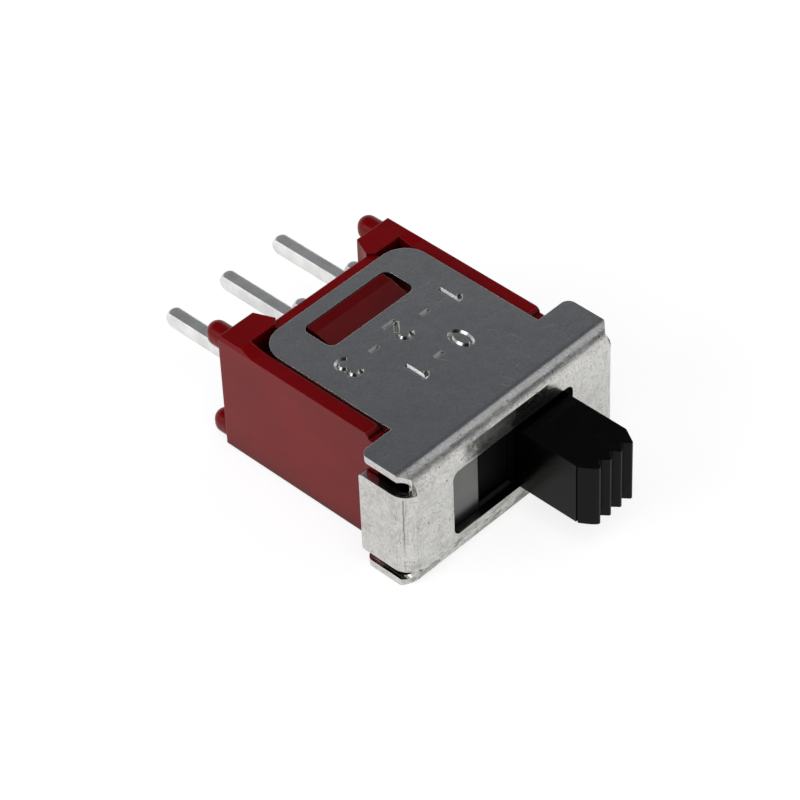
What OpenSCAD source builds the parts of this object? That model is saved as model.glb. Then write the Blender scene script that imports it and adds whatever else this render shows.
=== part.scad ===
// Slide switch: one pole, two positions, straight pins for a circuit board.
// It lies on its lower plate. X runs along the slider's travel, Y from the knob to the pins, Z up.
// Each sub-part is drawn about the centre of the frame's front face, and seat() moves it
// to the model's origin, the middle of the bounding box's lowest face.

/* [Frame] */
// Width of the front face over the folded side tabs
frame_w = 10.1; // [9.9:0.05:10.3]
// Thickness of the switch over its two broad plates
frame_t = 4.9; // [4.85:0.05:5.1]
// Thickness of the tinned steel sheet
sheet_t = 0.3; // [0.25:0.01:0.3]
// Depth of the frame from the front face to the back edge of its plates
frame_d = 8.24; // [8.2:0.02:8.28]
// Width of the narrow part of each plate
plate_w = 6.95; // [6.8:0.05:6.98]
// Depth of the wide part of each plate
ear_d = 2.17; // [2.1:0.01:2.2]
// Length of the slot for the knob
slot_l = 5.7; // [5.65:0.05:5.9]
// Height of the slot for the knob
slot_h = 2.78; // [2.76:0.02:2.9]

/* [Housing] */
// Width of the moulded housing
body_w = 8.12; // [8.04:0.02:8.2]
// Depth from the front face to the back of the corner blocks
body_d = 9.45; // [9.4:0.01:9.6]
// Radius of the four domed feet
foot_r = 0.39; // [0.35:0.02:0.45]

/* [Slider] */
// Width of the knob along its travel
knob_w = 2.35; // [2.2:0.05:2.4]
// Height of the knob across its travel
knob_h = 2.5; // [2.3:0.05:2.5]
// Reach of the knob in front of the frame
knob_l = 3.1; // [2.9:0.05:3.5]
// Number of grip ridges on the knob's end
ridges = 4; // [3:1:5]

/* [Contacts] */
// Distance between neighbouring pins
pitch = 2.54; // [2.5:0.01:2.58]
// Width of a pin along the row
pin_w = 0.44; // [0.4:0.02:0.5]
// Thickness of the terminal blades
blade_t = 0.56; // [0.5:0.02:0.6]
// Distance from the frame's front face to the pin ends
pin_end = 13.6; // [12.8:0.1:14.2]
// Angle that the rocking contact swings through
rock = 16; // [14:1:16]

/* [Hidden] */
$fn = 48;
far = 20;

// Folds, corners and cut-outs of the sheet
half_t = frame_t / 2;
fold_r = 0.73;
tab_h = 3.34;
tab_d = 2.14;
tab_corner_r = 0.12;
ear_w = frame_w - 0.26;
ear_corner_r = 0.32;
ear_cut = 0.57;
plate_corner_r = 1.0;
slot_x = -0.115;
slot_z = 0.08;
slot_r = 0.3;
notch_h = 0.5;
notch_x = 4.6;
window_w = 3.96;
window_front = 6.27;
window_back = 7.66;
window_r = 0.3;

// Outlines of the housing
body_half = body_w / 2;
floor_z = half_t - sheet_t - 0.03;
rail_z = 2.33;
rail_front = 2.62;
rail_in = plate_w / 2 + 0.035;
rail_r = 0.2;
rim_front = frame_d + 0.07;
rim_w = 5.0;
lip_front = sheet_t + 0.02;
lip_in = 1.86;
flange_w = frame_w - 2 * sheet_t - 0.1;
flange_front = 1.6;
bay_w = 7.0;
bay_half = 1.45;
bay_d = 4.0;
pit_half = 0.95;
pit_end = 7.2;
back_y = 8.7;
recess_in = 2.14;
recess_out = 2.46;
band_half = 0.85;
band_w = 7.2;
block_z = half_t - 0.01;
block_in = 2.35;
block_edge = 0.1;
ramp_front = 7.9;
ramp_back = 8.45;
pocket_in = 2.4;
pocket_front = 7.2;
pocket_back = 8.5;
pocket_floor = 1.5;
foot_x = 3.56;
foot_y = body_d + 0.52;
foot_top = 2.42;
foot_stretch = 0.14;
ridge_w = window_w - 0.4;
catch_gap = 0.03;
fit_gap = 0.02;

// Knob, carriage and the bore for the spring and plunger
rest_x = pitch / 2;
chamfer = 0.55;
ridge_span = 1.56;
ridge_step = ridge_span / (ridges - 1);
crest_w = 0.07;
crest_shift = -0.05;
groove = 0.28;
cheek_notch = 0.07;
carriage_l = frame_w - 2 * sheet_t - pitch - 0.1;
carriage_front = 0.6;
carriage_back = 1.55;
carriage_half = lip_in - 0.04;
boss_w = 1.9;
boss_h = 2.2;
boss_back = 3.95;
bore_r = 0.6;
bore_end = -1.0;

// The shutter's hole is longer than the knob, so it trails the knob with lost motion
shutter_travel = 1.02;
shutter_hole_l = knob_w + pitch - shutter_travel + 0.02;
shutter_x = rest_x + knob_w / 2 + 0.01 - shutter_hole_l / 2;
shutter_l = frame_w - 2 * fold_r - 2 * shutter_x + 0.42;
shutter_front = 0.38;
shutter_t = 0.15;
shutter_half = lip_in - 0.03;
shutter_hole_h = knob_h + 0.16;

// See-saw contact: a strip bent to a shallow V rocks on the crown of the common terminal
crown_r = 0.4;
crown_y = 5.6;
strip_t = 0.25;
strip_w = 1.7;
strip_l = 2.9;
strip_y = 0.34;
side_crown_drop = crown_r + fit_gap - strip_y;
head_in = 0.5;
head_out = 0.85;
shoulder_y = 6.6;
stub_x = 0.64;
stub_w = 0.42;
stub_end = 10.75;
plunger_r = 0.55;
plunger_tip = crown_y - strip_y - strip_t - 0.06;
plunger_back = 2.7;
coil_wire_r = 0.07;
coil_r = 0.42;
coil_turns = 9;
coil_sides = 8;
coil_steps = 16;
coil_gap = 0.02;

mid_y = (pin_end - knob_l) / 2;

module seat() translate([0, -mid_y, half_t]) children();

// Extrusions of a flat outline along the named axis, between two places on it
module along_x(x0, x1) translate([x0, 0, 0]) rotate([90, 0, 90]) linear_extrude(x1 - x0) children();
module along_y(y0, y1) translate([0, y1, 0]) rotate([90, 0, 0]) linear_extrude(y1 - y0) children();
module along_z(half) translate([0, 0, -half]) linear_extrude(2 * half) children();

// Both ends of the travel, or both broad sides, have the same form
module both_x() for (side = [0, 1]) mirror([side, 0, 0]) children();
module both_z() for (side = [0, 1]) mirror([0, 0, side]) children();

// Rectangle with round corners, centred
module round_rect(w, h, r) {
    square([w - 2 * r, h], center = true);
    square([w, h - 2 * r], center = true);
    for (x = [-1, 1], y = [-1, 1]) translate([x * (w / 2 - r), y * (h / 2 - r)]) circle(r);
}

// Slab from u0 to u1, v = -half to half, with its two corners at u0 rounded
module front_round(u0, u1, half, r) {
    translate([u0 + r, -half]) square([u1 - u0 - r, 2 * half]);
    translate([u0, r - half]) square([u1 - u0, 2 * (half - r)]);
    for (side = [-1, 1]) translate([u0 + r, side * (half - r)]) circle(r);
}

// The same slab with the corners at u1 rounded
module back_round(u0, u1, half, r) translate([u0 + u1, 0]) mirror([1, 0]) front_round(u0, u1, half, r);

// Sheet folded back at both ends of its front: u is depth, v runs across
module folded_sheet(depth, half, r) difference() {
    front_round(0, depth, half, r);
    front_round(sheet_t, depth + 1, half - sheet_t, r - sheet_t);
}

// Outline of a broad plate seen from above: wide ears, then the narrow tongue
module plate_outline() mirror([1, -1]) {
    translate([-1, -ear_w / 2]) square([ear_d / 2 + 1, ear_w]);
    back_round(ear_d / 2, ear_d, ear_w / 2, ear_corner_r);
    back_round(ear_d / 2, frame_d, plate_w / 2, plate_corner_r);
}

// Relief at the corners of the front face: a notch with a round inner end between ear and side tab,
// and above it the ear's corner, cut off at an angle
module corner_relief() {
    tab_x = frame_w / 2 - fold_r;
    corner_x = notch_x - 0.02;
    corner_y = ear_cut - ear_w / 2 + corner_x;
    both_x() along_y(-1, far) {
        translate([tab_x, -tab_h / 2]) square([far, tab_h]);
        for (side = [-1, 1]) translate([0, side * (tab_h + notch_h) / 2]) {
            translate([notch_x + notch_h / 2, 0]) circle(notch_h / 2);
            translate([notch_x + notch_h / 2, -notch_h / 2]) square([far, notch_h]);
        }
    }
    difference() {
        along_z(far) both_x()
            polygon([[corner_x, -1], [corner_x, corner_y], [ear_w / 2 + 1, ear_cut + 1], [far, -1]]);
        cube([2 * far, 2 * far, tab_h], center = true);
    }
}

module frame() seat() color([0.78, 0.78, 0.76]) difference() {
    union() {
        difference() {
            intersection() {
                along_x(-ear_w / 2, ear_w / 2) folded_sheet(frame_d, half_t, fold_r);
                along_z(far) plate_outline();
            }
            corner_relief();
        }
        intersection() {
            along_z(tab_h / 2) mirror([1, -1]) folded_sheet(tab_d, frame_w / 2, fold_r);
            along_x(-far, far) back_round(-1, tab_d, tab_h / 2, tab_corner_r);
        }
    }
    along_y(-1, 1) translate([slot_x, slot_z]) round_rect(slot_l, slot_h, slot_r);
    along_z(far) translate([0, (window_front + window_back) / 2])
        round_rect(window_w, window_back - window_front, window_r);
}

// Wedge that the frame's window snaps over: ramp at the front, steep catch at the back
module snap_ridge() along_x(-ridge_w / 2, ridge_w / 2) polygon([
    [window_front + 0.06, floor_z - 0.2],
    [window_front + 0.06, floor_z + 0.02],
    [window_back - 0.45, half_t - 0.02],
    [window_back - catch_gap, half_t - 0.02],
    [window_back - catch_gap, floor_z - 0.2]
]);

// Domed foot, a little taller than wide, running forward into its corner block
module foot() for (z = [foot_top - foot_r, foot_top - foot_r - foot_stretch]) translate([foot_x, 0, z]) {
    translate([0, foot_y, 0]) sphere(foot_r);
    translate([0, foot_y, 0]) rotate([90, 0, 0]) cylinder(h = foot_y - back_y, r = foot_r);
}

// Web that fills the foot between its upper and lower rounds
module foot_web() {
    top = foot_top - foot_r;
    translate([foot_x, foot_y, top - foot_stretch]) cylinder(h = foot_stretch, r = foot_r);
    translate([foot_x - foot_r, back_y, top - foot_stretch])
        cube([2 * foot_r, foot_y - back_y, foot_stretch]);
}

// Corner blocks stand level with the plates, ramp down to the rails and have chamfered outer edges
module corner_blocks() intersection() {
    along_x(-far, far) polygon([[ramp_front, -rail_z], [ramp_front, rail_z], [ramp_back, block_z],
        [body_d, block_z], [body_d, -block_z], [ramp_back, -block_z]]);
    along_y(0, far) polygon([[-body_half, -rail_z], [-body_half, rail_z], [block_edge - body_half, block_z],
        [body_half - block_edge, block_z], [body_half, rail_z], [body_half, -rail_z],
        [body_half - block_edge, -block_z], [block_edge - body_half, -block_z]]);
    along_z(far) both_x() polygon([[block_in, pocket_back], [rail_in, pocket_back], [rail_in, ramp_front],
        [body_half, ramp_front], [body_half, body_d], [recess_out, body_d], [recess_in, back_y]]);
}

// Outer form of the housing: core, front lips and flange, side rails, raised rim and corner blocks
module housing_body() {
    along_x(-body_half, body_half) front_round(lip_front, body_d, floor_z, fold_r - sheet_t + 0.02);
    along_y(flange_front, tab_d) square([flange_w, 2 * floor_z], center = true);
    both_x() along_x(rail_in, body_half) front_round(rail_front, body_d, rail_z, rail_r);
    along_z(rail_z) translate([-rim_w / 2, rim_front]) square([rim_w, body_d - rim_front]);
    along_z(rail_z) translate([-body_half, back_y]) square([body_w, body_d - back_y]);
    both_z() snap_ridge();
    corner_blocks();
    both_x() both_z() {
        foot();
        foot_web();
    }
}

// Middle of the back face, set in between the corner blocks, and the band that the pins leave by
module back_recess() {
    along_z(far) polygon([[-recess_in, back_y], [recess_in, back_y],
        [recess_out, body_d + 0.01], [-recess_out, body_d + 0.01]]);
    along_y(back_y, far) round_rect(band_w, 2 * band_half, 0.3);
}

// Deep pockets round the corners of the plates
module corner_pockets() both_x() both_z() translate([pocket_in, pocket_front, pocket_floor])
    cube([rail_in - pocket_in, pocket_back - pocket_front, far]);

// Room for the carriage at the front, the boss behind it and the rocking contact at the back
module housing_inside() {
    along_y(-1, flange_front) square([far, 2 * lip_in], center = true);
    along_y(0, bay_d) round_rect(bay_w, 2 * bay_half, 0.3);
    along_y(0, pit_end) round_rect(bay_w, 2 * pit_half, 0.2);
}

module blade_slots() for (i = [-1:1]) translate([i * pitch, 0, 0]) {
    along_y(pit_end - 0.01, far) square([pin_w + 2 * fit_gap, blade_t + 2 * fit_gap], center = true);
    along_y(pit_end - 0.01, far) translate([stub_x, 0])
        square([stub_w + 2 * fit_gap, blade_t + 2 * fit_gap], center = true);
}

module housing() seat() color([0.5, 0.04, 0.06]) difference() {
    housing_body();
    housing_inside();
    corner_pockets();
    back_recess();
    blade_slots();
}

// Outline of the knob seen from above: a crowned chamfer, upright V ridges on the end, a plain chamfer
module knob_outline() {
    half = knob_w / 2;
    first = ridge_span / 2 - crest_shift;
    crests = [for (i = [0:ridges - 1]) let (x = first - i * ridge_step) each [
        [x + crest_w / 2, -knob_l], [x - crest_w / 2, -knob_l], [x - ridge_step / 2, -knob_l + groove]]];
    last_x = first - (ridges - 1) * ridge_step - crest_w / 2;
    cheek = [for (t = [0.8:-0.2:0]) [t * (half + last_x) - half, -knob_l + chamfer * pow(1 - t, 1.3)]];
    notch = [[cheek_notch - half, cheek_notch - knob_l + chamfer], [-half, cheek_notch - knob_l + chamfer]];
    polygon(concat([[-half, carriage_back], [half, carriage_back], [half, -knob_l + chamfer]],
        [for (p = crests) if (p.x > last_x - 0.01) p], cheek, notch));
}

module slider() seat() color([0.1, 0.1, 0.1]) translate([rest_x, 0, 0]) difference() {
    union() {
        along_z(knob_h / 2) knob_outline();
        along_y(carriage_front, carriage_back) square([carriage_l, 2 * carriage_half], center = true);
        along_y(carriage_front, boss_back) round_rect(boss_w, boss_h, 0.2);
    }
    translate([0, boss_back + 1, 0]) rotate([90, 0, 0]) cylinder(h = boss_back + 1 - bore_end, r = bore_r);
}

module dust_shutter() seat() color([0.45, 0.45, 0.45])
    translate([shutter_x, 0, 0]) along_y(shutter_front, shutter_front + shutter_t) difference() {
        round_rect(shutter_l, 2 * shutter_half, 0.2);
        square([shutter_hole_l, shutter_hole_h], center = true);
    }

module plunger() seat() color([0.8, 0.65, 0.3]) translate([rest_x, plunger_tip - plunger_r, 0]) {
    sphere(plunger_r);
    rotate([90, 0, 0]) cylinder(h = plunger_tip - plunger_r - plunger_back, r = plunger_r);
}

// Rise of a helix along Y: a closed turn at each end, open turns of the given pitch between them
coil_closed = 2.1 * coil_wire_r;
function coil_rise(turn, open_pitch) = coil_closed * (min(turn, 1) + max(turn - coil_turns + 1, 0))
    + open_pitch * max(min(turn, coil_turns - 1) - 1, 0);

module spring() seat() color([0.7, 0.7, 0.7]) {
    y0 = bore_end + coil_gap + coil_wire_r;
    y1 = plunger_back - coil_gap - coil_wire_r;
    open_pitch = (y1 - y0 - 2 * coil_closed) / (coil_turns - 2);
    last = coil_turns * coil_steps;
    rings = [for (i = [0:last]) let (turn = i / coil_steps, a = 360 * turn)
        for (k = [0:coil_sides - 1]) let (b = 360 * k / coil_sides, r = coil_r + coil_wire_r * cos(b))
            [rest_x + r * cos(a), y0 + coil_rise(turn, open_pitch) + coil_wire_r * sin(b), r * sin(a)]];
    skin = [for (i = [0:last - 1], k = [0:coil_sides - 1]) let (n = (k + 1) % coil_sides, j = i * coil_sides)
        [j + k, j + n, j + coil_sides + n, j + coil_sides + k]];
    ends = [[for (k = [coil_sides - 1:-1:0]) k], [for (k = [0:coil_sides - 1]) last * coil_sides + k]];
    polyhedron(rings, concat(skin, ends), convexity = 6);
}

// One arm of the see-saw strip, level when its end rests on an outer terminal
module strip_arm() along_z(strip_w / 2) translate([0, -strip_y - strip_t]) square([strip_l, strip_t]);

// The strip's groove turns on the common terminal's crown
module rocker() seat() color([0.8, 0.75, 0.6]) translate([0, crown_y, 0]) difference() {
    union() {
        strip_arm();
        rotate([0, 0, rock]) mirror([1, 0, 0]) strip_arm();
    }
    cylinder(h = 2 * strip_w, r = crown_r + fit_gap, center = true);
}

// Outline of a blade: round crown and head with shoulders on the housing
module blade_outline(drop) {
    translate([0, crown_y + drop]) circle(crown_r);
    translate([-crown_r, crown_y + drop]) square([2 * crown_r, pit_end - crown_y - drop]);
    translate([-head_in, shoulder_y]) square([head_in + head_out, pit_end - shoulder_y]);
}

// Pin or leg of a blade, with a domed end a little wider than the corners it rounds
module leg(w, end) {
    dome_r = norm([w, blade_t]) / 2 + 0.01;
    intersection() {
        along_z(blade_t / 2) translate([-w / 2, shoulder_y]) square([w, end - shoulder_y]);
        translate([0, end - dome_r, 0]) union() {
            sphere(dome_r);
            rotate([90, 0, 0]) cylinder(h = end, r = dome_r);
        }
    }
}

// Blade stamped from sheet, with its long pin and its short leg
module terminal(place, drop) seat() color([0.8, 0.8, 0.78]) translate([place * pitch, 0, 0]) {
    along_z(blade_t / 2) blade_outline(drop);
    leg(pin_w, pin_end);
    translate([stub_x, 0, 0]) leg(stub_w, stub_end);
}

frame();
housing();
slider();
dust_shutter();
plunger();
spring();
rocker();
terminal(-1, side_crown_drop);  // terminal_left
terminal(0, 0);  // terminal_common
terminal(1, side_crown_drop);  // terminal_right
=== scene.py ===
"""Looks of the slide switch: materials, stamped numerals, coil spring, floor, light and camera."""
import math
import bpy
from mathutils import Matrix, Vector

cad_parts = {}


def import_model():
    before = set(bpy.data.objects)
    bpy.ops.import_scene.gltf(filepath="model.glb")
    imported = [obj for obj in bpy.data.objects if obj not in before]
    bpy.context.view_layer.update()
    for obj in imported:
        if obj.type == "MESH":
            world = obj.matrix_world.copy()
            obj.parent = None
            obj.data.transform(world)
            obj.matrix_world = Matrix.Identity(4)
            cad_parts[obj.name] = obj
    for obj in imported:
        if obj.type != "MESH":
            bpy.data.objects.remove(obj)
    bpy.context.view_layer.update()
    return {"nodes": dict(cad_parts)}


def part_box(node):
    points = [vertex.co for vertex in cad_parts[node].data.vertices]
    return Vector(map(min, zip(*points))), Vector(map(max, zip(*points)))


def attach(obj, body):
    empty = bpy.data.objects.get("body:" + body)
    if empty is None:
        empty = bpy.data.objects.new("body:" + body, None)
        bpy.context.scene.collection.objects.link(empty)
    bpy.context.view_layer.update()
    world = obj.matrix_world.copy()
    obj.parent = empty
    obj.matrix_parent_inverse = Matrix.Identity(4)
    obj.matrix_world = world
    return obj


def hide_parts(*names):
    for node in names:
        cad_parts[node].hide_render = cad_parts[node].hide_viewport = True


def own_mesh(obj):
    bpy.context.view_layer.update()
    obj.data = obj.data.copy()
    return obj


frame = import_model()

from types import SimpleNamespace

import bmesh
import bpy
from mathutils import Matrix, Vector

MM = 0.001
NODES = frame["nodes"]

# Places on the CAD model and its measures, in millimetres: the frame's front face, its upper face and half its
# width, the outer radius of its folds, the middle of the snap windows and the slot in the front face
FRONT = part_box("frame")[0].y / MM
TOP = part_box("frame")[1].z / MM
HALF_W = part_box("frame")[1].x / MM
MID_Z = TOP / 2
FOLD_R = 0.8
WINDOW_Y = 1.715
SLOT_X, SLOT_Z = -0.115, 2.53
SLOT_HALF_L, SLOT_HALF_H = 2.86, 1.4


# ---------------------------------------------------------------- node helpers
class Nodes:
    """Adds nodes to a tree. A value is a number, a tuple or another node's output."""

    def __init__(self, tree):
        self.tree = tree
        tree.nodes.clear()

    def add(self, kind, inputs=(), **settings):
        node = self.tree.nodes.new("ShaderNode" + kind)
        for name, value in settings.items():
            setattr(node, name, value)
        for name, value in dict(inputs).items():
            self.set(node.inputs[name], value)
        return node

    def set(self, socket, value):
        if isinstance(value, bpy.types.NodeSocket):
            self.tree.links.new(value, socket)
        else:
            socket.default_value = value

    def math(self, operation, a, b=0.0, c=0.0):
        return self.add("Math", {0: a, 1: b, 2: c}, operation=operation).outputs[0]

    def times(self, *values):
        out = values[0]
        for value in values[1:]:
            out = self.math("MULTIPLY", out, value)
        return out

    def most(self, *values):
        out = values[0]
        for value in values[1:]:
            out = self.math("MAXIMUM", out, value)
        return out

    def linear(self, value, gain, offset):
        return self.math("MULTIPLY_ADD", value, gain, offset)

    def away(self, value, centre):
        return self.math("ABSOLUTE", self.math("SUBTRACT", value, centre))

    def step(self, value, low, high, out_low=0.0, out_high=1.0):
        """Smooth step of a value from low to high."""
        inputs = {"Value": value, "From Min": low, "From Max": high, "To Min": out_low, "To Max": out_high}
        return self.add("MapRange", inputs, interpolation_type="SMOOTHSTEP").outputs["Result"]

    def fall(self, value, low, high, strength=1.0):
        """From the strength at low down to 0 at high."""
        return self.step(value, low, high, strength, 0.0)

    def band(self, value, centre, half, soft):
        """1 where the value lies within half of the centre, falling to 0 over soft."""
        return self.fall(self.away(value, centre), half, half + soft)

    def mix(self, factor, a, b, kind="RGBA"):
        """a where the factor is 0 and b where it is 1. Only the node's sockets of that kind are used."""
        node = self.add("Mix", {"Factor": factor}, data_type=kind)
        sockets = [s for s in node.inputs if s.type == kind and s.name in "AB"]
        self.set(sockets[0], a)
        self.set(sockets[1], b)
        return [s for s in node.outputs if s.type == kind][0]


class Material(Nodes):
    """A node material on the piece's own coordinates. Its lengths are in millimetres."""

    def __init__(self, name):
        self.material = bpy.data.materials.new(name)
        self.material.use_nodes = True
        super().__init__(self.material.node_tree)
        coordinates = self.add("TexCoord").outputs["Object"]
        self.place = self.add("VectorMath", {0: coordinates, "Scale": 1 / MM}, operation="SCALE").outputs[0]
        self.x, self.y, self.z = self.add("SeparateXYZ", {0: self.place}).outputs

    def stretched(self, place, stretch):
        return self.add("VectorMath", {0: place, 1: stretch}, operation="MULTIPLY").outputs[0]

    def noise(self, scale, detail=3.0, stretch=(1, 1, 1), roughness=0.5, shift=(0, 0, 0)):
        moved = self.add("VectorMath", {0: self.place, 1: shift}, operation="ADD").outputs[0]
        at = self.stretched(moved, stretch)
        inputs = {"Vector": at, "Scale": scale, "Detail": detail, "Roughness": roughness}
        return self.add("TexNoise", inputs).outputs["Fac"]

    def specks(self, scale, radius, share):
        """Small round spots of about the given radius in a share of the cells."""
        cells = self.add("TexVoronoi", {"Vector": self.place, "Scale": scale})
        pick = self.add("SeparateColor", {0: cells.outputs["Color"]}).outputs[0]
        reach = self.fall(cells.outputs["Distance"], radius * scale * 0.5, radius * scale)
        return self.times(self.math("LESS_THAN", pick, share), reach)

    def hairlines(self, scale, width, shift, stretch, share):
        """Broken thin lines: where a smooth noise crosses its middle value."""
        line = self.band(self.noise(scale, 0.0, stretch, shift=shift), 0.5, width * 0.4, width)
        breaks = self.noise(scale * 2.3, 1.0, shift=(shift[1], shift[2], 4))
        return self.times(line, self.step(breaks, share, share + 0.06))

    def over(self, base, colour, *amounts):
        """The colour laid over the base by the product of the amounts."""
        return self.mix(self.times(*amounts), base, colour)

    def bevel(self, radius):
        return self.add("Bevel", {"Radius": radius * MM}, samples=8).outputs[0]

    def bump(self, height, depth, normal):
        """Bump whose height of 1 stands for depth."""
        inputs = {"Height": height, "Distance": depth * MM, "Strength": 1.0, "Normal": normal}
        return self.add("Bump", inputs).outputs[0]

    def finish(self, **inputs):
        names = {key.replace("_", " "): value for key, value in inputs.items()}
        shader = self.add("BsdfPrincipled", names)
        self.add("OutputMaterial", {"Surface": shader.outputs[0]})
        return self.material


def tone(colour, factor):
    return tuple(c * factor for c in colour[:3]) + (1,)


def dress(piece, material):
    piece.data.materials.clear()
    piece.data.materials.append(material)


# ------------------------------------------------------------------ tinned sheet
TIN = (0.62, 0.615, 0.59, 1)
TARNISH = (0.42, 0.41, 0.37, 1)
SMUDGE = (0.2, 0.2, 0.19, 1)
STAIN = (0.25, 0.25, 0.17, 1)
WORN_TIN = (0.2, 0.2, 0.18, 1)
PEPPER = (0.33, 0.325, 0.29, 1)
PIT = (0.06, 0.055, 0.04, 1)
# Painted shade: near black for the slot's cut edges
SLOT_EDGE_SHADE = (0.05, 0.05, 0.048, 1)
FLAT_TO = 0.57  # sine of the angle on the upper fold up to which the front face looks flat over the slot


def tin_wear(m):
    """Where the sheet is marked, and how, and where shade is painted on the slot's cut edges: a namespace of
    values from 0 to 1. Its height is the distance from the middle plane, in millimetres."""
    w = SimpleNamespace()
    w.height = m.away(m.z, MID_Z)
    depth = m.math("SUBTRACT", m.y, FRONT)
    w.upright = m.fall(w.height, MID_Z - 0.12, MID_Z - 0.03)
    w.grain = m.noise(11, 4, roughness=0.7)
    w.mottle = m.noise(2.4, 3, shift=(3, 1, 5), roughness=0.6)
    w.stains = m.step(m.noise(1.7, 4, shift=(4, 9, 2), roughness=0.75), 0.56, 0.72)
    pits = m.most(m.specks(2.1, 0.05, 0.4), m.specks(4.6, 0.03, 0.45), m.specks(7.5, 0.02, 0.5))
    w.pits = m.times(pits, m.linear(w.upright, 0.6, 0.3))
    w.scratches = m.most(
        m.hairlines(0.5, 0.004, (2, 6, 1), (1, 0.5, 1), 0.52),
        m.hairlines(0.8, 0.005, (7, 1, 3), (0.4, 1, 1), 0.56))

    # Cracks down the side folds, with one long split in each
    side = m.away(m.x, 0)
    side_fold = m.times(m.step(side, HALF_W - FOLD_R, HALF_W - 0.45), m.fall(depth, 0.5, FOLD_R))
    cracks = m.step(m.noise(22, 2, stretch=(1, 1, 0.05), shift=(1, 0, 3)), 0.54, 0.66)
    sideways, forwards = m.math("SUBTRACT", side, HALF_W - FOLD_R), m.math("SUBTRACT", FOLD_R, depth)
    turn = m.linear(m.noise(1.4, 3, shift=(0, 0, 7)), 0.16, m.math("ARCTAN2", sideways, forwards))
    whole = m.step(m.noise(1.3, 2, stretch=(0.2, 0.2, 1), shift=(0, 0, 2)), 0.36, 0.46)
    split = m.times(m.band(turn, 1.04, 0.008, 0.045), whole, m.band(m.z, MID_Z, 1.6, 0.05))

    # Creases and rubbed patches along the front folds, and streaks below the slot
    front_fold = m.times(m.step(w.height, MID_Z - 0.85, MID_Z - 0.5), m.fall(depth, 0.25, 0.5))
    creases = m.step(m.noise(15, 3, stretch=(0.12, 1, 1), shift=(2, 5, 0)), 0.52, 0.68)
    w.worn = m.times(front_fold, m.step(m.noise(0.9, 1, shift=(5, 2, 2)), 0.42, 0.6))
    low = m.times(m.fall(m.z, 0.75, 1.3), m.fall(depth, 0.2, 0.6))
    streaks = m.step(m.noise(6, 4, stretch=(0.25, 1, 1), shift=(9, 3, 1), roughness=0.7), 0.44, 0.58)
    w.marks = m.most(
        m.times(side_fold, cracks, 0.6), split, m.times(front_fold, creases, 0.4), m.times(low, streaks))

    # Bright rubbed tin with dark pepper in it, above all at the front's upper right
    patches = m.step(m.noise(0.55, 2, shift=(2, 8, 3)), 0.5, 0.62, 0.0, 0.7)
    corner = m.times(m.step(m.x, 0.4, 2.2), m.step(m.z, 2.7, 3.9))
    w.rubbed = m.times(m.most(patches, corner), w.upright)
    w.peppered = m.times(w.rubbed, m.step(m.noise(9, 5, shift=(1, 4, 6), roughness=0.85), 0.53, 0.6))
    w.blotches = m.times(m.step(m.noise(5.5, 3, shift=(7, 7, 2), roughness=0.6), 0.54, 0.68), w.upright)

    # A smudge above the slot, and painted shade on the slot's cut edges, which are painted near black
    above_slot = m.times(m.band(m.x, -1.8, 0.35, 0.5), m.step(m.z, 3.95, 4.05), m.fall(depth, 0.13, 0.2))
    w.smudge = m.times(above_slot, m.step(w.grain, 0.3, 0.6, 0.4, 1.0))
    in_slot = m.times(m.band(m.x, SLOT_X, SLOT_HALF_L, 0.01), m.band(m.z, SLOT_Z, SLOT_HALF_H, 0.01))
    w.cut = m.times(in_slot, m.step(depth, 0.02, 0.06))
    return w


def tin_normal(m, w):
    """Dents, rolling lines and sunk marks. Over the slot, the front face's shading stays flat into the fold."""
    rise = m.linear(w.height, 1 / FOLD_R, 1 - MID_Z / FOLD_R)
    rise = m.math("MINIMUM", m.math("MAXIMUM", rise, 0.0), FLAT_TO)
    set_back = m.math("SUBTRACT", 1.0, m.math("SQRT", m.math("SUBTRACT", 1.0, m.times(rise, rise))))
    over_slot = m.times(m.step(m.x, -2.8, -2.0), m.fall(m.x, 1.4, 2.5))
    rounded = m.bevel(0.014)
    normal = m.mix(over_slot, rounded, m.bump(set_back, FOLD_R, rounded), "VECTOR")
    normal = m.bump(m.noise(0.45, 2, shift=(8, 2, 1)), 0.012, normal)
    normal = m.bump(w.mottle, 0.0025, normal)
    rolled = m.noise(9, 2, stretch=(1, 0.05, 1), shift=(0, 7, 2))
    normal = m.bump(m.linear(rolled, 0.5, w.grain), 0.001, normal)
    dents = m.times(m.noise(4.5, 2, shift=(6, 6, 1)), m.most(w.worn, m.times(w.upright, 0.25)))
    normal = m.bump(dents, 0.02, normal)
    sunk = m.most(w.pits, w.marks, m.times(w.scratches, 0.3))
    return m.bump(m.times(sunk, -1.0), 0.004, normal)


def tin():
    """Bright tinned sheet with fine grain, rolling lines, pits, hairline scratches and worn folds."""
    m = Material("tinned_steel")
    w = tin_wear(m)
    base = m.mix(m.step(w.grain, 0.3, 0.7), tone(TIN, 1.12), tone(TIN, 0.88))
    base = m.over(base, TARNISH, m.step(w.mottle, 0.42, 0.66), m.linear(w.upright, 0.22, 0.16))
    base = m.over(base, SMUDGE, w.smudge, 0.6)
    base = m.over(base, STAIN, w.stains, w.upright, 0.35)
    base = m.over(base, WORN_TIN, m.most(w.marks, m.times(w.worn, m.step(w.grain, 0.5, 0.62), 0.6)), 0.8)
    base = m.over(base, tone(TIN, 1.2), w.rubbed, 0.5)
    base = m.over(base, PEPPER, m.most(w.peppered, m.times(w.blotches, 0.5)), 0.75)
    base = m.over(base, PIT, w.pits)
    base = m.over(base, tone(TIN, 0.5), w.scratches, m.linear(w.upright, 0.3, 0.12))
    # Painted shade: the slot's cut edges are painted near black
    base = m.over(base, SLOT_EDGE_SHADE, w.cut, 0.85)
    rough = m.linear(w.grain, 0.12, 0.15)
    rough = m.linear(m.most(w.marks, w.worn, w.cut), 0.12, rough)
    return m.finish(Base_Color=base, Metallic=1.0, Roughness=rough, Normal=tin_normal(m, w))


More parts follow.
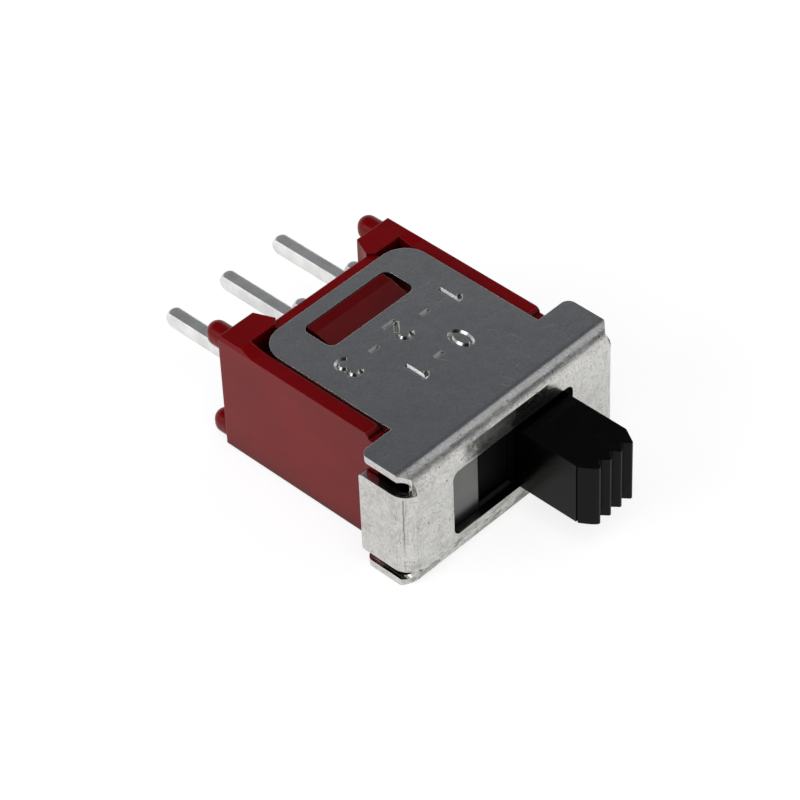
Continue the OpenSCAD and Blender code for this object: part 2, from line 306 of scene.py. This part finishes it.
# ------------------------------------------------------- plastics and other metals
def moulded(name, colour, specular, rough, edge, painted_shade=None, matt_from=None):
    """Moulded plastic: faint flow marks and fine grain over edges softened by a radius. It is painted darker where
    the mask of painted shade says, and matt from one depth behind the front face."""
    m = Material(name)
    flow = m.noise(0.55, 3, stretch=(1, 0.45, 1), roughness=0.6)
    grain = m.noise(20, 3)
    base = m.mix(m.step(flow, 0.3, 0.75), tone(colour, 1.08), tone(colour, 0.88))
    base = m.over(base, tone(colour, 0.5), m.specks(2.6, 0.03, 0.2), 0.35)
    # Painted shade: where the given mask says, the colour is taken down towards near black
    if painted_shade:
        base = m.over(base, tone(colour, 0.03), painted_shade(m))
    sheen = m.noise(1.8, 3, shift=(4, 2, 6), roughness=0.6)
    roughness = m.linear(grain, 0.16, rough - 0.08)
    roughness = m.linear(m.step(sheen, 0.3, 0.7), 0.06, roughness)
    if matt_from:
        behind = m.step(m.y, FRONT + matt_from, FRONT + matt_from + 0.1)
        roughness = m.linear(behind, 0.4, roughness)
    normal = m.bump(flow, 0.01, m.bevel(edge))
    normal = m.bump(grain, 0.0012, normal)
    return m.finish(Base_Color=base, Roughness=roughness, Normal=normal, Specular_IOR_Level=specular)


def gaps(m, strength):
    """Painted shade in gaps and inner corners, where ambient occlusion finds them sheltered."""
    open_air = m.add("AmbientOcclusion", {"Distance": 1.1 * MM}, samples=8).outputs["AO"]
    return m.fall(open_air, 0.15, 0.95, strength)


def housing_painted_shade(m):
    """Painted shade in gaps, behind the frame's front and over the snap ridge in its window."""
    window = m.times(m.band(m.x, 0.0, 2.0, 0.1), m.band(m.y, WINDOW_Y, 0.7, 0.05), m.step(m.z, 4.2, 4.3))
    behind_front = m.fall(m.y, FRONT + 1.5, FRONT + 2.0, 0.9)
    return m.most(gaps(m, 0.85), m.times(window, 0.42), behind_front)


def shutter_painted_shade(m):
    """Painted shade in gaps and along the slot's lower edge."""
    return m.most(gaps(m, 0.2), m.fall(m.z, 1.25, 1.65, 0.92))


def drawn(name, colour, rough, edge, along):
    """Drawn or stamped metal with fine lines along one direction, over edges softened by a radius."""
    m = Material(name)
    lines = m.noise(12, 3, stretch=along)
    cloud = m.noise(1.1, 3, roughness=0.6)
    base = m.mix(m.step(cloud, 0.3, 0.7), tone(colour, 1.06), tone(colour, 0.86))
    base = m.over(base, tone(colour, 0.4), m.specks(3.0, 0.03, 0.3), 0.4)
    roughness = m.linear(lines, 0.18, rough - 0.09)
    normal = m.bump(cloud, 0.008, m.bevel(edge))
    normal = m.bump(lines, 0.0018, normal)
    return m.finish(Base_Color=base, Metallic=1.0, Roughness=roughness, Normal=normal)


RED = (0.185, 0.0004, 0.0016, 1)
BLACK = (0.0005, 0.0005, 0.0004, 1)
GREY = (0.22, 0.22, 0.214, 1)
BRASS = (0.72, 0.5, 0.2, 1)
SILVERED = (0.8, 0.78, 0.72, 1)
TINNED = (0.85, 0.85, 0.83, 1)
STEEL = (0.45, 0.45, 0.46, 1)

dress(NODES["housing"], moulded("red_plastic", RED, specular=0.17, rough=0.15, edge=0.05, painted_shade=housing_painted_shade))
dress(NODES["slider"], moulded("black_plastic", BLACK, specular=0.125, rough=0.2, edge=0.03, matt_from=0.2))
dress(NODES["dust_shutter"], moulded("grey_plastic", GREY, specular=0.2, rough=0.3, edge=0.02, painted_shade=shutter_painted_shade))
dress(NODES["plunger"], drawn("brass", BRASS, rough=0.25, edge=0.02, along=(1, 0.1, 1)))
dress(NODES["rocker"], drawn("silvered_brass", SILVERED, rough=0.22, edge=0.02, along=(0.1, 1, 1)))
PIN_FINISH = drawn("tinned_brass", TINNED, rough=0.36, edge=0.09, along=(1, 0.08, 1))
for place in ("left", "common", "right"):
    dress(NODES["terminal_" + place], PIN_FINISH)


# ------------------------------------------------------------- stamped numerals
def arc(cx, cy, rx, ry, start, end, steps=10):
    """Points on an ellipse from one angle to another, in degrees."""
    angles = [math.radians(start + (end - start) * i / steps) for i in range(steps + 1)]
    return [(cx + rx * math.cos(a), cy + ry * math.sin(a)) for a in angles]


# Plain numerals and a dash drawn in strokes, 1 high and about 0.6 wide, from the lower left corner
STROKES = {
    "0": [arc(0.3, 0.5, 0.27, 0.45, 96, 264), arc(0.3, 0.5, 0.27, 0.45, -84, 84)],
    "1": [[(0.08, 0.74), (0.27, 0.93)], [(0.34, 1.0), (0.34, 0.0)]],
    "2": [arc(0.3, 0.72, 0.26, 0.26, 160, -30), [(0.44, 0.5), (0.04, 0.08)], [(0.02, 0.0), (0.6, 0.0)]],
    "3": [arc(0.28, 0.76, 0.24, 0.22, 150, -60), arc(0.27, 0.27, 0.28, 0.25, 65, -150)],
    "-": [[(0.1, 0.5), (0.5, 0.5)]],
}
MIDDLE_U, MIDDLE_V = 0.3, 0.5  # the middle of a character
STROKE_HALF_W, STROKE_DEPTH = 0.095, 0.078
FLAT_SHARE = 0.15  # width of a stroke's flat bottom as a share of its width
PROUD = 0.01  # how far a cutter stands above the sheet
ROW_X = 0.1
CHARACTER_H = 0.95


def stroke_cutter(points):
    """Mesh that cuts one stroke into the upper plate, with sloping flanks and a narrow flat bottom."""
    mesh = bmesh.new()
    narrow = STROKE_HALF_W * FLAT_SHARE
    wide = STROKE_HALF_W + PROUD * (STROKE_HALF_W - narrow) / STROKE_DEPTH
    high, low = (TOP + PROUD) * MM, (TOP - STROKE_DEPTH) * MM
    rings = []
    for i, p in enumerate(points):
        before, after = points[max(i - 1, 0)], points[min(i + 1, len(points) - 1)]
        way = Vector((after[0] - before[0], after[1] - before[1])).normalized()
        side, centre = Vector((-way.y, way.x)), Vector(p)
        ring = [(wide, high), (-wide, high), (-narrow, low), (narrow, low)]
        corners = [(centre + side * reach, z) for reach, z in ring]
        rings.append([mesh.verts.new((at.x * MM, at.y * MM, z)) for at, z in corners])
    for a, b in zip(rings, rings[1:]):
        for k in range(4):
            mesh.faces.new((a[k], a[(k + 1) % 4], b[(k + 1) % 4], b[k]))
    mesh.faces.new(rings[0][::-1])
    mesh.faces.new(rings[-1])
    bmesh.ops.recalc_face_normals(mesh, faces=mesh.faces)
    return mesh


def apply(piece, kind, **settings):
    """Adds a modifier and applies it."""
    modifier = piece.modifiers.new(kind.lower(), kind)
    for name, value in settings.items():
        setattr(modifier, name, value)
    bpy.context.view_layer.update()
    shaped = bpy.data.meshes.new_from_object(piece.evaluated_get(bpy.context.evaluated_depsgraph_get()))
    piece.modifiers.clear()
    piece.data = shaped


def stamp(piece, text, centre, height, gap):
    """Cuts characters into the upper plate. They read along -X, with their tops towards the knob."""
    start = centre[0] + (len(text) - 1) * gap / 2
    for i, character in enumerate(text):
        at = start - i * gap
        for stroke in STROKES[character]:
            points = [(at - (u - MIDDLE_U) * height, centre[1] - (v - MIDDLE_V) * height) for u, v in stroke]
            shape = stroke_cutter(points)
            mesh = bpy.data.meshes.new("cutter")
            shape.to_mesh(mesh)
            shape.free()
            cutter = bpy.data.objects.new("cutter", mesh)
            bpy.context.scene.collection.objects.link(cutter)
            apply(piece, "BOOLEAN", operation="DIFFERENCE", solver="MANIFOLD", object=cutter)
            bpy.data.objects.remove(cutter)


def stamped_frame():
    """Copy of the frame with two rows stamped in: the terminals' numbers and the knob's places."""
    mesh = NODES["frame"].data.copy()
    work = bmesh.new()
    work.from_mesh(mesh)
    bmesh.ops.remove_doubles(work, verts=work.verts, dist=0.0005 * MM)
    work.to_mesh(mesh)
    work.free()
    mesh.attributes.remove(mesh.attributes["custom_normal"])  # they would no longer fit the cut faces
    piece = bpy.data.objects.new("stamped_frame", mesh)
    bpy.context.scene.collection.objects.link(piece)
    stamp(piece, "1-2-3", (ROW_X, FRONT + 5.2), CHARACTER_H, gap=1.2)
    stamp(piece, "0-1", (ROW_X, FRONT + 3.45), CHARACTER_H, gap=1.05)
    apply(piece, "DECIMATE", decimate_type="DISSOLVE", angle_limit=math.radians(0.2))
    piece.data.shade_smooth()
    piece.data.set_sharp_from_angle(angle=math.radians(28))
    apply(piece, "WEIGHTED_NORMAL", keep_sharp=True)
    dress(piece, tin())
    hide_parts("frame")
    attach(piece, "switch_body")


# ---------------------------------------------------------------- coil spring
def coil_spring():
    """Copy of the spring, with a mesh of its own, attached to the slider."""
    node = NODES["spring"]
    piece = bpy.data.objects.new("coil_spring", node.data.copy())
    bpy.context.scene.collection.objects.link(piece)
    bpy.context.view_layer.update()
    piece.matrix_world = node.matrix_world
    dress(piece, drawn("spring_steel", STEEL, rough=0.3, edge=0.01, along=(1, 1, 1)))
    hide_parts("spring")
    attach(piece, "slider")
    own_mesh(piece)


stamped_frame()
coil_spring()


# ----------------------------------------------------- floor, light and camera
CAMERA_AZIMUTH = -44.6
WALL = (0.98, 0.97, 0.96, 1)
CEILING = (0.0934, 0.1006, 0.1217, 1)
PHOTOGRAPHER = (0.012, 0.012, 0.014, 1)
WHITE = (1, 1, 1, 1)


def heading(azimuth, elevation):
    """Direction from the part towards a lamp or camera. Azimuth 0 is in front of the knob, at -Y."""
    a, e = math.radians(azimuth), math.radians(elevation)
    return Vector((math.sin(a) * math.cos(e), -math.cos(a) * math.cos(e), math.sin(e)))


def floor():
    """Pale floor that keeps a soft shadow. Its glow brings it up to white for the camera, and to pale grey in
    reflections."""
    m = Material("floor")
    ways = m.add("LightPath").outputs
    seen = ways["Is Camera Ray"]
    paint = m.linear(seen, -0.45, 0.8)
    colour = m.add("CombineColor", {0: paint, 1: paint, 2: paint}).outputs[0]
    glow = m.linear(seen, 0.79, m.times(ways["Is Glossy Ray"], 0.44))
    diffuse = m.add("BsdfDiffuse", {"Color": colour}).outputs[0]
    emission = m.add("Emission", {"Strength": glow}).outputs[0]
    lit = m.add("AddShader", {0: diffuse, 1: emission}).outputs[0]
    m.add("OutputMaterial", {"Surface": lit})
    bpy.ops.mesh.primitive_plane_add(size=3.0, location=(0, 0, 0))
    plane = bpy.context.object
    plane.name = "floor"
    dress(plane, m.material)


def world():
    """White walls that fade to a dim ceiling, with a dark gap where the photographer stands. The camera itself
    sees plain white."""
    made = bpy.data.worlds.new("studio")
    bpy.context.scene.world = made
    made.use_nodes = True
    n = Nodes(made.node_tree)
    way = n.add("TexCoord").outputs["Generated"]
    climb = n.step(n.add("SeparateXYZ", {0: way}).outputs["Z"], 0.2, 0.72)
    colour = n.mix(climb, WALL, CEILING)
    gap = {0: way, 1: heading(CAMERA_AZIMUTH, 45)}
    towards = n.add("VectorMath", gap, operation="DOT_PRODUCT").outputs["Value"]
    colour = n.mix(n.step(towards, 0.8, 0.92), colour, PHOTOGRAPHER)
    colour = n.mix(n.add("LightPath").outputs["Is Camera Ray"], colour, WHITE)
    back = n.add("Background", {"Color": colour, "Strength": 1.0})
    n.add("OutputWorld", {"Surface": back.outputs[0]})


def lamp(name, azimuth, elevation, distance, size, power, reflected=True):
    """Round soft box that faces the part. Its distance and size are in metres."""
    back = heading(azimuth, elevation)
    data = bpy.data.lights.new(name, "AREA")
    data.shape, data.size, data.energy = "DISK", size, power
    o = bpy.data.objects.new(name, data)
    bpy.context.scene.collection.objects.link(o)
    o.location = back * distance
    o.visible_glossy = reflected
    o.rotation_mode = "QUATERNION"
    o.rotation_quaternion = (-back).to_track_quat("-Z", "Y")


def camera(azimuth, elevation, roll, distance, lens, target):
    """Camera that looks at the target, in metres, from a direction and distance, turned about its view by roll."""
    back, r = heading(azimuth, elevation), math.radians(roll)
    right = Vector((math.cos(math.radians(azimuth)), math.sin(math.radians(azimuth)), 0))
    up = back.cross(right)
    across = math.cos(r) * right + math.sin(r) * up
    above = math.cos(r) * up - math.sin(r) * right
    data = bpy.data.cameras.new("camera")
    data.lens, data.sensor_width, data.clip_start = lens, 36, 0.005
    o = bpy.data.objects.new("camera", data)
    bpy.context.scene.collection.objects.link(o)
    turned = Matrix((across, above, back)).transposed().to_4x4()
    o.matrix_world = Matrix.Translation(target + back * distance) @ turned
    bpy.context.scene.camera = o


floor()
world()
lamp("above", azimuth=-35, elevation=62, distance=0.6, size=0.55, power=1.3, reflected=False)
lamp("left", azimuth=-105, elevation=28, distance=0.7, size=0.5, power=1.55)
lamp("right", azimuth=73, elevation=57, distance=0.8, size=0.46, power=0.27)
camera(CAMERA_AZIMUTH, elevation=43.0, roll=-2.58, distance=0.1178, lens=160.9,
       target=Vector((-0.455, -0.475, 2.45)) * MM)
bpy.context.scene.view_settings.view_transform = "Standard"
